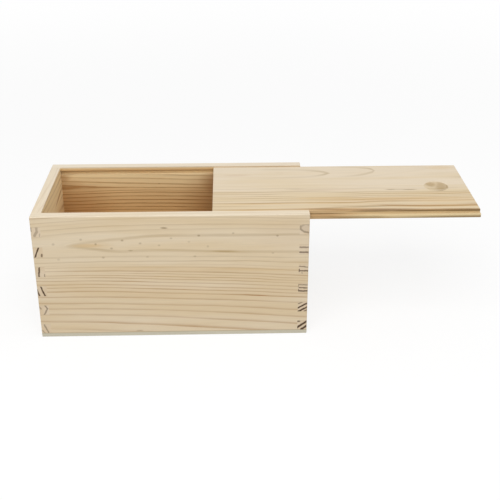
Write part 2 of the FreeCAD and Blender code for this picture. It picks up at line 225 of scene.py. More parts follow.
def stretched_noise(tree, place, grain, seed, detail=2.0):
    """Noise from 0 to 1, whose grains are so many millimetres long and wide. Each seed gives another."""
    length, width = grain
    spread = add(tree, "Mapping", place, vector_type="POINT",
                 named={"Location": (seed, seed * 1.7, seed * 0.6),
                        "Scale": (1 / length, 1 / width, 1 / width)})
    return add(tree, "TexNoise", spread, named={"Scale": 1.0, "Detail": detail, "Roughness": 0.5})


# Boards.

class Mark(NamedTuple):
    """A soft-edged fleck, patch or line: its place and size on the board, how strong it is, its turn in
    degrees in the show face, how thick it is and how far its middle lies below that face."""
    along: float
    across: float
    length: float
    width: float
    strength: float = 0.5
    turn: float = 0.0
    thickness: float = 3.0
    below: float = 0.0


class Arch(NamedTuple):
    """The pointed outline of a ring that the show face only just cuts: how thick its line is, and points
    along the grain, each with the outline's middle, its half width there, which is below zero past the
    tip, and how dark it is."""
    thickness: float
    outline: tuple


class Stroke(NamedTuple):
    """A latewood band on the end grain: from one point to another, each a depth and a height."""
    start: tuple
    end: tuple
    width: float
    strength: float


class Board(NamedTuple):
    """A board as it was sawn.

    Its grain runs along one axis and its show face is crossed by another. Depth is the third: it
    starts at outer, in metres, and goes into the wood: up the axis where into is 1, down for -1.
    heart_across and heart_depth place the tree's heart at points along the grain. Rings are
    (radius, strength) from the heart outwards. The fan tilts the lines: its amount along the grain
    times its amount across the face. Arches are outlines on the show face, and strokes are the
    rings on the end grain.

    Flecks, resin and shades are marks of their own colour. Boosts darken the lines and calms quieten
    them. olive and straw say how grey the lines and how yellow the wood are across the face.
    unsanded says at what depth the wood is as the saw left it, and deep where across the face that
    wood is darkest. An edge that faces up above rim was planed, and planed says how pale that left
    it. On the walls the same pale colour also runs along the top of the faces, partly as a painted
    highlight.
    """
    node: str
    grain: str
    face: str
    depth: str
    outer: float
    into: int
    heart_across: tuple
    heart_depth: tuple
    fan_along: tuple
    fan_across: tuple
    rings: tuple
    seed: float
    arches: tuple = ()
    strokes: tuple = ()
    flecks: tuple = ()
    resin: tuple = ()
    shades: tuple = ()
    boosts: tuple = ()
    calms: tuple = ()
    olive: tuple = ((0.0, 0.0), (1.0, 0.0))
    straw: tuple = ((0.0, 0.5), (1.0, 0.5))
    unsanded: tuple = ((1.2, 0.0), (2.2, 1.0))
    deep: tuple = ((76.0, 1.0), (122.0, 0.0))
    rim: float = 122.0
    planed: float = 0.85


FRONT = Board(
    node="front_side", grain="X", face="Z", depth="Y", outer=BASE_LOW.y, into=1,
    heart_across=((0, 94.9), (125, 98), (250, 95.6)),
    heart_depth=((0, -15.8), (60, -14.2), (125, -13), (180, -12.3), (240, -12)),
    fan_along=((0, 1), (128, 0), (250, -0.7)),
    fan_across=((0, 12), (12, 10), (22, 8), (35, 5.6), (60, 4.8), (68, 3.4), (78, 0)),
    rings=((10, 0), (15, 0), (19.4, 0.42), (23, 0.5), (26, 0.25), (28.4, 0.55), (32.8, 0.75), (34.9, 0.6),
           (37.3, 0.7), (39.9, 0.75), (43.3, 0.8), (47.1, 0.8), (50.2, 0.85), (54.1, 0.85), (60, 0.7),
           (66.7, 0.7), (72.7, 0.75), (80, 0.7), (89, 0.9), (98, 0.4), (105, 0.3)),
    seed=3.1,
    arches=(Arch(2.8, ((27, 95, -3, 0.1), (31, 95.1, 0, 0.25), (38, 95.6, 1.3, 0.3), (57, 96, 4, 0.4),
                       (73, 96, 5.8, 0.5), (90, 96.8, 6.8, 0.5), (123, 98, 7.6, 0.55),
                       (148, 97.6, 7.9, 0.55), (185, 96.7, 8.5, 0.5), (248, 95.9, 8.9, 0.45))),),
    flecks=(Mark(119, 113, 9, 2.4, 0.65, -3), Mark(19, 97.8, 4, 3.6, 0.26), Mark(22.5, 82.3, 4, 3.4, 0.2),
            Mark(44, 102.2, 3.6, 3.2, 0.3), Mark(57, 97.5, 3, 3.2, 0.42), Mark(71, 93, 3.8, 2.8, 0.36),
            Mark(63, 83.8, 4, 2.8, 0.34), Mark(81, 101, 3.8, 3, 0.45), Mark(97, 97.8, 3.8, 2.8, 0.34),
            Mark(88, 90.6, 6, 2, 0.36), Mark(103, 84, 3.8, 2.4, 0.26), Mark(114, 95.6, 3.6, 2.6, 0.26),
            Mark(125, 102.6, 3.6, 2.4, 0.32), Mark(141, 98.8, 3.6, 2.4, 0.2), Mark(146, 84, 4, 2.6, 0.3),
            Mark(150, 105, 3.8, 2.8, 0.5), Mark(158, 94, 3, 3.2, 0.26), Mark(181, 107, 3.2, 2.8, 0.3),
            Mark(221, 104, 3.6, 2.8, 0.45), Mark(217, 86.4, 3.8, 2.2, 0.26), Mark(92, 5.6, 10, 2, 0.4)),
    resin=(Mark(50, 96.1, 46, 6.4, 0.5), Mark(60, 96, 36, 10, 0.2), Mark(150, 71, 320, 7, 0.18, -1.4),
           Mark(192, 70, 130, 5, 0.3, -1.6), Mark(125, 48, 340, 24, 0.18, -2),
           Mark(60, 52, 150, 8, 0.14, -1.5), Mark(150, 60, 300, 10, 0.1, -1.5)),
    boosts=(Mark(214, 42.2, 120, 6, 0.9, -3), Mark(60, 59.2, 150, 4.4, 0.5, -1.2),
            Mark(120, 50, 80, 5, 0.6, -2), Mark(14, 48, 40, 5, 0.7, -2), Mark(174, 89, 34, 4, 1, -2),
            Mark(170, 80, 260, 6, 0.5, -1), Mark(120, 64, 300, 20, 0.45, -1.5),
            Mark(66, 92.6, 60, 4, 0.4, -2)),
    calms=(Mark(125, 120, 300, 8, 0.6), Mark(120, 26, 200, 30, 0.25), Mark(40, 68, 150, 3, 0.9),
           Mark(20, 20, 90, 44, 0.3)),
    shades=(Mark(240, 106, 120, 44, 0.07),),
    olive=((72, 0), (80, 0.6), (90, 0.8), (108, 0.8), (116, 0.4)),
    planed=0.5,
)

BACK = Board(
    node="back_side", grain="X", face="Z", depth="Y", outer=BASE_HIGH.y, into=-1,
    heart_across=((0, 38), (125, 41), (250, 37)),
    heart_depth=((0, -9), (80, -11), (160, -14), (250, -19)),
    fan_along=((0, 1), (107, 0), (250, -0.2)),
    fan_across=((0, -3), (40, 0), (100, 0.5), (108, 6), (114, 4.5), (121, 3)),
    rings=((6, 0), (10.5, 0.5), (13.6, 0.55), (16.6, 0.6), (20, 0.55), (24, 0.6), (28, 0.7), (32.5, 0.6),
           (36, 0.8), (39.5, 0.7), (42.9, 0.8), (45.6, 0.85), (49.2, 0.9), (52.9, 0.85), (56.6, 0.8),
           (60.4, 0.95), (62.3, 0.6), (65.1, 0.85), (69.2, 0.85), (74.7, 0.8), (78.6, 0.65), (82.5, 0.6),
           (88, 0.5)),
    seed=11.4,
    flecks=(Mark(107, 106.5, 4.4, 1.8, 0.8, 0, 30), Mark(61, 24, 2.8, 1.6), Mark(176, 58, 3.4, 1.6),
            Mark(203, 31, 2.6, 1.6), Mark(98, 72, 2.6, 1.4), Mark(37, 96, 2.8, 1.5)),
    resin=(Mark(70, 40, 90, 7, 0.35, 1),),
    # Painted shade on the inner face: the darker patches at both ends and in the left corner under the lip
    # are partly browned wood and partly painted shadow, the right ones under the lid; the long mark along
    # the groove's back wall is painted shade.
    shades=(Mark(20, 76, 110, 90, 0.5, 0, 4, 9), Mark(170, 78, 100, 110, 0.58, 0, 4, 9),
            Mark(168, 104, 60, 50, 0.68, 0, 4, 9), Mark(218, 84, 120, 130, 0.6, 0, 4, 9),
            Mark(14, 105, 60, 22, 0.4, 0, 4, 9), Mark(10, 113, 26, 16, 0.5, 0, 4, 9),
            Mark(12, 118.5, 26, 6, 0.6, -4, 4, 9), Mark(80, 120.2, 400, 4, 0.5, 0, 4, 5)),
    boosts=(Mark(20, 84, 70, 40, 0.3, 0, 4, 9), Mark(150, 84, 70, 44, 0.3, 0, 4, 9)),
    calms=(Mark(80, 112, 300, 16, 0.5, -1, 4, 9), Mark(75, 118, 190, 8, 0.95, 0, 14, 7),
           Mark(75, 95.5, 80, 5, 0.6, 0, 4, 9)),
    # Darker towards the bottom of the inner face. The share drops almost to none in the top millimetre,
    # painted light that offsets the shade of the gap beside the lid.
    deep=((78, 0.78), (101, 0.5), (105.5, 0.3), (113, 0.15), (117, 0), (120.5, 0.1), (121.6, 0.7),
          (123, 0.5), (123.9, 0.05), (125, 0)),
)

CLOSED_END = Board(
    node="closed_end", grain="Y", face="Z", depth="X", outer=BASE_LOW.x, into=1,
    heart_across=((0, 70), (60, 68), (125, 71)),
    heart_depth=((0, 53), (70, 56), (125, 60)),
    fan_along=((0, 0), (125, 1)),
    fan_across=((0, 3), (60, 0), (125, -2)),
    rings=((40, 0), (44.8, 0.6), (48.8, 0.6), (52.8, 0.7), (56.8, 0.7), (60.6, 0.6), (64.4, 0.7), (69, 0.8),
           (73.4, 0.65), (77.5, 0.7), (82, 0.6), (88, 0.6)),
    seed=23.7,
    strokes=(
        Stroke((5.4, 115.4), (5.6, 110.6), 2.4, 0.36), Stroke((5.6, 111), (3.2, 106.6), 2.4, 0.38),
        Stroke((0.5, 114.6), (0.4, 111), 1, 0.6), Stroke((7.9, 108.4), (7.6, 106), 0.9, 0.35),
        Stroke((5.9, 95.6), (1.7, 85), 1.35, 1), Stroke((8, 87.6), (7.7, 85.8), 1.5, 0.75),
        Stroke((4.4, 75.4), (3.2, 65), 1.4, 0.95), Stroke((8.4, 67.4), (8.3, 64.8), 0.9, 0.6),
        Stroke((3.5, 54.8), (6.8, 44.6), 1.4, 1), Stroke((0.1, 51), (1.8, 44.6), 1.4, 0.95),
        Stroke((5.6, 34), (7.7, 31), 1.6, 0.6), Stroke((7.7, 31), (4, 23.6), 1.4, 0.55),
        Stroke((0.5, 33), (1.8, 30.5), 1.1, 0.55), Stroke((3.2, 13), (6.2, 5), 1.5, 0.5),
        Stroke((0.8, 7.2), (3, 4.2), 1, 0.4)),
    flecks=(Mark(88, 34, 2.8, 1.6), Mark(41, 86, 3, 1.7), Mark(58, 57, 2.6, 1.5)),
    resin=(Mark(60, 70, 80, 9, 0.3),),
    shades=(Mark(96, 102, 60, 5, 0.7, 6, 4, 9), Mark(124, 84, 60, 40, 0.04, 0, 4, 9)),
    calms=(Mark(62, 96, 180, 90, 0.8, 0, 4, 9),),
    unsanded=((1.2, 0), (2.2, 0.95)),
    deep=((86, 0.45), (98, 0), (106, 0)),
    planed=0.48,
)

OPEN_END = Board(
    node="open_end", grain="Y", face="Z", depth="X", outer=BASE_HIGH.x, into=-1,
    heart_across=((0, 111), (60, 112), (125, 110)),
    heart_depth=((0, 3), (60, 2), (125, -1)),
    fan_along=((0, 0), (125, 1)),
    fan_across=((0, 4), (50, 2), (111, 0)),
    rings=((1, 0), (4.4, 0.6), (8.6, 0.45), (13.6, 0.5), (19.2, 0.75), (24.6, 0.75), (31, 0.5),
           (39.4, 0.75), (43.5, 0.75), (51, 0.5), (59, 0.7), (61.8, 0.7), (65, 0.7), (71, 0.5), (77, 0.7),
           (83, 0.7), (90, 0.5), (98, 0.7), (105, 0.7), (112, 0.5)),
    seed=37.2,
    strokes=(
        Stroke((0.2, 114.4), (4.6, 115.2), 1.7, 0.36), Stroke((4.6, 114.8), (8, 113.2), 1.7, 0.36),
        Stroke((8.2, 113.2), (8.4, 110.6), 1.8, 0.45), Stroke((8.2, 110.4), (5, 107.8), 1.8, 0.5),
        Stroke((5, 107.8), (0, 106.6), 1.7, 0.5), Stroke((2, 110.8), (6, 111.6), 5.4, 0.12),
        Stroke((-0.4, 91.8), (8.2, 92), 1.6, 0.6), Stroke((-0.4, 86.6), (8.4, 87), 1.5, 0.75),
        Stroke((-0.4, 71.2), (8.4, 72.4), 0.9, 0.7), Stroke((-0.4, 67.4), (8.6, 67.8), 1.3, 0.85),
        Stroke((8.6, 69), (8.6, 67), 1.2, 0.9), Stroke((6.2, 66), (5.6, 64.6), 0.9, 0.4),
        Stroke((-0.4, 52.6), (8.6, 52.8), 0.9, 0.75), Stroke((8.8, 53), (9, 51.2), 1, 0.75),
        Stroke((-0.4, 49.4), (8.2, 49.8), 1.2, 0.85), Stroke((-0.4, 46.2), (8.6, 46.4), 1.4, 0.95),
        Stroke((8.8, 48), (8.8, 46), 1, 0.75), Stroke((8.6, 32.6), (5, 33.8), 1.1, 0.6),
        Stroke((-0.4, 33.4), (9.2, 27.8), 1.6, 1), Stroke((-0.4, 29.2), (9.2, 23.6), 1.7, 1),
        Stroke((2.8, 24.4), (-0.2, 25.8), 1.4, 0.75), Stroke((9.2, 13.2), (6.8, 13.2), 1.5, 0.85),
        Stroke((-0.4, 13.6), (9, 6.6), 2.1, 1), Stroke((-0.2, 8.6), (5.2, 4.2), 2.1, 1)),
    flecks=(Mark(70, 40, 2.8, 1.5), Mark(31, 78, 3, 1.4), Mark(101, 62, 2.6, 1.5)),
    resin=(Mark(62, 110, 60, 9, 0.4), Mark(40, 50, 90, 9, 0.3, 1)),
    rim=116,
)

LID = Board(
    node="sliding_lid", grain="X", face="Y", depth="Z", outer=LID_HIGH.z, into=-1,
    heart_across=((160, 97), (276, 97.5), (324, 105), (406, 110)),
    heart_depth=((160, -10), (200, -16.1), (240, -20.5), (276, -23.8), (324, -27.5), (377, -31.1),
                 (406, -32.9)),
    fan_along=((160, 0.1), (200, 0), (245, -0.07), (290, -0.35), (330, -0.82), (370, -1.1), (406, -1.25)),
    fan_across=((0, 18.5), (10, 18), (18, 16.5), (27, 12.5), (45, 18), (57, 21), (86, 0)),
    rings=((11, 0), (15.9, 0.1), (19.8, 0.05), (23.7, 0), (27.4, 0), (31.2, 0.12), (35, 0.06), (41.3, 0.4),
           (49.1, 0.9), (53.1, 1), (57.9, 0.9), (62.2, 1), (67, 0.7), (72.4, 1), (79, 1), (86, 1),
           (93, 0.5)),
    seed=51.9,
    arches=(Arch(4.5, ((205, 97, 12, 0), (221, 97.1, 11.1, 0.35), (247, 97, 9.5, 0.4), (260, 97, 7.5, 0.5),
                       (270, 97.2, 4.2, 0.56), (276, 97.5, 0, 0.56), (279, 97.5, -3, 0.3))),
            Arch(4.5, ((276, 101, 15, 0), (292, 100.9, 12.9, 0.26), (302, 101.6, 11, 0.32),
                       (312, 102.3, 8, 0.45), (320, 103.1, 4.2, 0.54), (322.5, 103, 0, 0.54),
                       (325, 103, -4, 0.3)))),
    # Painted shade among the flecks: (258, 9.5) darkens the rabbet's inner corner beside the box, and the
    # two at across 5.5 darken the lower edge of the front tongue.
    flecks=(Mark(332, 55.4, 16, 2.2, 0.7), Mark(349, 55, 22, 2, 0.85), Mark(240, 58.8, 26, 1.8, 0.35),
            Mark(255, 56.5, 60, 1.4, 0.2), Mark(274, 10.8, 70, 8, 0.2), Mark(322, 10.4, 96, 5.6, 0.7),
            Mark(388, 9.6, 90, 5, 0.7), Mark(268, 14.8, 56, 4, 0.36, 4), Mark(306, 17.4, 60, 4, 0.4, 3),
            Mark(341, 55.2, 36, 1.6, 0.5), Mark(258, 9.5, 76, 2.4, 0.85, 0, 1.7, 3.2),
            Mark(310, 9.5, 70, 2.4, 0.8, 0, 2.4, 0.8), Mark(352, 9.5, 110, 2.6, 0.95, 0, 2.6, 0.8),
            Mark(400, 9.5, 150, 2.8, 1, 0, 3, 0.9), Mark(296, 5.5, 90, 3, 0.5, 0, 3.4, 5.2),
            Mark(400, 5.5, 240, 3.4, 0.8, 0, 6, 6.2)),
    resin=(Mark(390, 109, 40, 14, 0.25), Mark(380, 46, 150, 7, 0.2), Mark(285, 26, 120, 8, 0.3, 1),
           Mark(330, 34, 210, 12, 0.5, 1), Mark(378, 30, 120, 12, 0.4), Mark(378, 18, 140, 7, 0.6),
           Mark(215, 25.5, 130, 6, 0.4, 1), Mark(272, 10.5, 100, 15, 0.6, 1), Mark(370, 10, 120, 4, 0.6),
           Mark(270, 26.5, 90, 6, 0.5), Mark(270, 37, 90, 8, 0.4), Mark(200, 12, 80, 5, 0.7)),
    # Painted shadow: the mark at (258, 7) darkens the tongue and rabbet beside the front board.
    shades=(Mark(186, 94, 36, 9, 0.14), Mark(320, 33, 110, 6, 0.15, 1), Mark(270, 56, 90, 7, 0.12),
            Mark(262, 12, 116, 10, 0.35, 1), Mark(362, 18, 130, 4.5, 0.3), Mark(374, 10.5, 130, 3, 0.5),
            Mark(258, 7, 110, 9, 0.5, 0, 8, 4.2), Mark(302, 10.6, 150, 9, 0.5)),
    boosts=(Mark(394, 45, 70, 5, 1.2), Mark(318, 37, 60, 5, 0.8, 1), Mark(205, 26.5, 90, 4, 0.6),
            Mark(350, 18.5, 120, 6, 0.4), Mark(312, 31, 80, 4, 0.8, 1), Mark(250, 12, 190, 5, 0.6),
            Mark(320, 106, 26, 9, 0.4), Mark(268, 97, 20, 9, 0.3), Mark(310, 28, 300, 60, 0.6)),
    calms=(Mark(212, 78, 170, 30, 0.9, -4), Mark(290, 82, 120, 22, 0.7, -6), Mark(404, 66, 36, 26, 0.8),
           Mark(175, 97, 110, 52, 0.85), Mark(300, 7.5, 500, 5, 0.8, 0, 8, 4.5),
           Mark(320, 9.5, 900, 6, 0.95, 0, 9, 2.2), Mark(258, 44, 100, 20, 0.75),
           Mark(240, 20.5, 150, 6, 0.9), Mark(372, 30, 90, 9, 0.5), Mark(256, 27, 60, 6, 0.4),
           Mark(300, 20.6, 60, 4.4, 0.8)),
    olive=((20, 0.3), (50, 0.6), (70, 1)),
    straw=((20, 1.1), (48, 1), (60, 0.2), (125, 0)),
    unsanded=((0.4, 0), (1, 0.95), (6, 0.95), (6.45, 0)),
    deep=((5.6, 0), (9.3, 1), (115.7, 1), (119.4, 0)),
    rim=ENDLESS,
)

# Marks in the dished thumb recess, from its centre. Its shades are partly wood cut across the fibres and
# partly painted shade of the dish.
RECESS_SHADES = (Mark(-4, 7, 17, 10, 0.7, 6, ENDLESS), Mark(5.5, 3, 15, 24, 0.62, 0, ENDLESS),
                 Mark(2.5, -9, 18, 8, 0.85, 10, ENDLESS), Mark(11, -1.5, 6, 16, 0.75, 0, ENDLESS))
RECESS_GLEAMS = (Mark(-7.5, -3.5, 13, 14, 1, -25, ENDLESS), Mark(-1.5, -3.5, 7, 6, 0.4, 0, ENDLESS))

# How dark the wood is through one year's growth, from spring to winter.
YEAR = ((0.0, 0.35), (0.06, 0.04), (0.45, 0.0), (0.72, 0.16), (0.86, 0.75), (0.95, 1.0), (1.0, 0.75))

# Unevenness of the wood: how long and how wide its grains are, in millimetres.
SLOW_WANDER = (110, 16)
QUICK_WANDER = (22, 3.2)
LINE_FLOW = (55, 5)
YELLOW_DRIFT = (140, 13)
# Real fibres are a few hundredths of a millimetre wide. These are drawn coarser, so that they show.
PINE_FIBRES = (26, 0.55)
VENEER_FIBRES = (30, 0.6)

# A noise counts as lowest below the first value of a pair, and as highest above the second.
FULL_NOISE = (0.3, 0.7)
STEEP_NOISE = (0.35, 0.65)

# Shares between which the lines, the fibres and the veneer's figure vary.
LINE_SHADE = (0.65, 1.2)
FIBRE_SHADE = (0.95, 1.03)
VENEER_SHADE = (0.95, 1.02)
FIGURE_SHADE = (0.93, 1.0)

# A surface begins to count as cut across, or as facing up, where its normal goes that way by the
# first of these, and counts in full by the second.
CUT_ACROSS = (0.7, 0.95)
FACING_UP = (0.6, 0.95)

# Where the pale band at the top of a wall's faces begins and is whole, partly planed wood and partly a
# painted highlight, and how high the shadow at its foot is.
PLANED_AND_HIGHLIT_LIP = (RIM - 1.0, RIM - 0.4)
FOOT_SHADOW = 0.9

# How strongly each coat covers the wood, and how much of the lines is left on planed edges.
LATEWOOD_COVER = 0.62
END_GRAIN_COVER = 0.12
SEAM_COVER = 0.14
FOOT_COVER = 0.5
PLANED_AWAY = 0.6


def add_marks(tree, place, marks, centre=(0.0, 0.0)):
    """Lay marks over a board and give how strongly they cover each point."""
    core = 0.25
    covers = []
    for mark in marks:
        local = add(tree, "Mapping", place, vector_type="TEXTURE", named={
            "Location": (centre[0] + mark.along, centre[1] + mark.across, mark.below),
            "Rotation": (0.0, 0.0, math.radians(mark.turn)),
            "Scale": (mark.length / 2, mark.width / 2, mark.thickness / 2)})
        distance = add(tree, "VectorMath", local, operation="LENGTH")
        covers.append(add(tree, "MapRange", distance.outputs["Value"], 1.0, core, 0.0, mark.strength,
                          interpolation_type="SMOOTHSTEP"))
    return strongest(tree, covers)


def add_strokes(tree, place, strokes):
    """Lay round-ended strokes over the end grain, which run through the board along its grain."""
    soft_edge = 0.3
    covers = []
    for stroke in strokes:
        deeper = stroke.end[0] - stroke.start[0]
        higher = stroke.end[1] - stroke.start[1]
        local = add(tree, "Mapping", place, vector_type="TEXTURE", named={
            "Location": (0.0, stroke.start[1] + higher / 2, stroke.start[0] + deeper / 2),
            "Rotation": (math.atan2(deeper, higher), 0.0, 0.0)})
        reach = Vector((ENDLESS, math.hypot(deeper, higher) / 2, 0.0))
        nearest = add(tree, "VectorMath", local, -reach, operation="MAXIMUM")
        nearest = add(tree, "VectorMath", nearest, reach, operation="MINIMUM")
        distance = add(tree, "VectorMath", local, nearest, operation="DISTANCE")
        covers.append(add(tree, "MapRange", distance.outputs["Value"], stroke.width / 2 + soft_edge,
                          stroke.width / 2 - soft_edge, 0.0, stroke.strength))
    return strongest(tree, covers)


def board_place(tree, board, coordinates):
    """Say where a point lies in its board, in millimetres: along the grain, across, and into the wood."""
    box_axes = add(tree, "SeparateXYZ", coordinates.outputs["Object"])
    board_axes = add(tree, "CombineXYZ", box_axes.outputs[board.grain], box_axes.outputs[board.face],
                     box_axes.outputs[board.depth])
    start = dict(zip("XYZ", BASE_LOW))
    return add(tree, "Mapping", board_axes, vector_type="POINT", named={
        "Location": (-start[board.grain] / MM, -start[board.face] / MM, -board.into * board.outer / MM),
        "Scale": (1 / MM, 1 / MM, board.into / MM)})


def arch_lines(tree, board, along, across, depth):
    """Draw the arches' outlines, which fade away below the show face."""
    shallow, deep = 1.0, 4.0
    # A line fades out between these shares of its thickness.
    faded, full = 0.8, 0.1
    covers = []
    for arch in board.arches:
        starts, *shapes = zip(*arch.outline)
        middle, half, strength = (read_off(tree, along, tuple(zip(starts, shape)), SMOOTH)
                                  for shape in shapes)
        rise = add(tree, "Math", across, middle, operation="SUBTRACT")
        reach = add(tree, "Math", rise, operation="ABSOLUTE")
        from_line = add(tree, "Math", reach, half, operation="SUBTRACT")
        from_line = add(tree, "Math", from_line, operation="ABSOLUTE")
        covers.append(add(tree, "MapRange", from_line, arch.thickness * faded, arch.thickness * full,
                          0.0, strength, interpolation_type="SMOOTHSTEP"))
    return times(tree, strongest(tree, covers), add(tree, "MapRange", depth, deep, shallow))


def growth_lines(tree, board, place, along, across, depth):
    """Draw the latewood lines as the saw laid them open: from 0, clear wood, to 1, a full dark line."""
    # Real rings wander off a true circle, by so many millimetres.
    slow_reach, quick_reach = 2.2, 0.9
    slow = add(tree, "Math", stretched_noise(tree, place, SLOW_WANDER, board.seed), 0.5,
               operation="SUBTRACT")
    quick = add(tree, "Math", stretched_noise(tree, place, QUICK_WANDER, board.seed + 5), 0.5,
                operation="SUBTRACT")
    wander = add(tree, "Math", quick, quick_reach, times(tree, slow, slow_reach),
                 operation="MULTIPLY_ADD")

    # Distance from the heart of the tree, once the fan has tilted the lines.
    fan = times(tree, read_off(tree, along, board.fan_along, SMOOTH),
                read_off(tree, across, board.fan_across, SMOOTH))
    wavy_across = add(tree, "Math", across, wander, operation="ADD")
    level = add(tree, "Math", wavy_across, fan, operation="SUBTRACT")
    heart_across = read_off(tree, along, board.heart_across, SMOOTH)
    heart_depth = read_off(tree, along, board.heart_depth, SMOOTH)
    rise = add(tree, "Math", level, heart_across, operation="SUBTRACT")
    reach = add(tree, "Math", depth, heart_depth, operation="SUBTRACT")
    radius = add(tree, "VectorMath", add(tree, "CombineXYZ", rise, reach), operation="LENGTH")

    # Each ring: its number, how far through the year a point lies, and how dark its latewood is.
    year = read_off(tree, radius.outputs["Value"],
                    [(ring[0], number) for number, ring in enumerate(board.rings)])
    season = add(tree, "Math", year, operation="FRACT")
    latewood = add(tree, "ValToRGB", season, stops=YEAR)
    year_number = add(tree, "Math", year, operation="CEIL")
    darkness = read_off(tree, year_number, [(number, ring[1]) for number, ring in enumerate(board.rings)])
    lines = add(tree, "Math", times(tree, darkness, latewood),
                arch_lines(tree, board, along, wavy_across, depth), operation="MAXIMUM")

    # No line is as dark all the way along.
    flow = add(tree, "MapRange", stretched_noise(tree, place, LINE_FLOW, board.seed + 9),
               *FULL_NOISE, *LINE_SHADE)
    boost = add(tree, "Math", add_marks(tree, place, board.boosts), 1.0, operation="ADD")
    quiet = add(tree, "Math", 1.0, add_marks(tree, place, board.calms), operation="SUBTRACT")
    return times(tree, lines, flow, boost, quiet)


def finger_seams(tree, board, along, across):
    """Draw the thin glue lines between the fingers, at both ends of a board."""
    line = 0.35
    half = getattr(BASE_HIGH - BASE_LOW, board.grain.lower()) / MM / 2
    from_middle = add(tree, "Math", add(tree, "Math", along, half, operation="SUBTRACT"),
                      operation="ABSOLUTE")
    among_fingers = add(tree, "MapRange", from_middle, half - WALL_THICKNESS - line, half - WALL_THICKNESS)
    to_border = add(tree, "Math", add(tree, "Math", across, BASE_THICKNESS, operation="SUBTRACT"),
                    FINGER_PITCH / 2, operation="PINGPONG")
    return times(tree, among_fingers, add(tree, "MapRange", to_border, line, line / 2))


def cut_recess(tree, place, depth, wood):
    """Darken the dished thumb recess, partly for the fibres that the cutter ran down and up through, partly
    as painted shade of the dish.
    """
    settings = bpy.context.scene.lid_box_pine
    # Its colour ends at its edge, in radii, and at the lid's top, in millimetres down.
    edge, top = (1.08, 1.04), (0.03, 0.25)
    centre = ((LID_HIGH.x - BASE_LOW.x) / MM - RECESS_INSET, (BASE_HIGH.y - BASE_LOW.y) / MM / 2)
    local = add(tree, "Mapping", place, vector_type="TEXTURE", named={
        "Location": (*centre, 0.0), "Scale": (RECESS_RADIUS, RECESS_RADIUS, ENDLESS)})
    distance = add(tree, "VectorMath", local, operation="LENGTH")
    within = times(tree, add(tree, "MapRange", distance.outputs["Value"], *edge),
                   add(tree, "MapRange", depth, *top))
    dish = lay_coats(tree, settings.recess_wood,
                     (add_marks(tree, place, RECESS_SHADES, centre), settings.recess_shade),
                     (add_marks(tree, place, RECESS_GLEAMS, centre), settings.lid_straw))
    return lay_coats(tree, wood, (within, dish))


